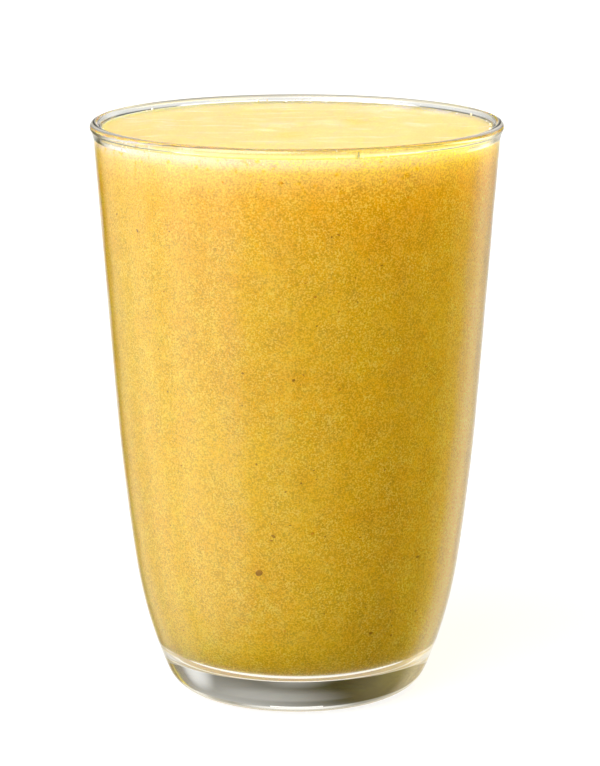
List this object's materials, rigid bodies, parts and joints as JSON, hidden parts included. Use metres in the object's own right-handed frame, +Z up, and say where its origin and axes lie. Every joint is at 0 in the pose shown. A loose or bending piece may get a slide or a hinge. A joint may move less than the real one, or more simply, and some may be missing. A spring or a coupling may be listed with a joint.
{
  "type": "glass of smoothie",
  "caption": "Clear pressed glass tumbler with a heavy foot, filled almost to its rounded lip with a thick yellow fruit smoothie.",
  "frame": {"origin": "centre of the foot, on the table that the glass stands on", "axes": "+Z up along the glass's axis of turning; the glass is round, so +X and +Y are free, and the picture looks along +Y"},
  "size_m": [0.084, 0.084, 0.1184],
  "materials": {
    "glass": "clear pressed soda-lime glass, fire-polished",
    "smoothie": "opaque blended fruit with fine pulp, wet and slightly glossy"
  },
  "bodies": {
    "root": {"tumbler": "glass", "smoothie": "smoothie"}
  },
  "joints": []
}
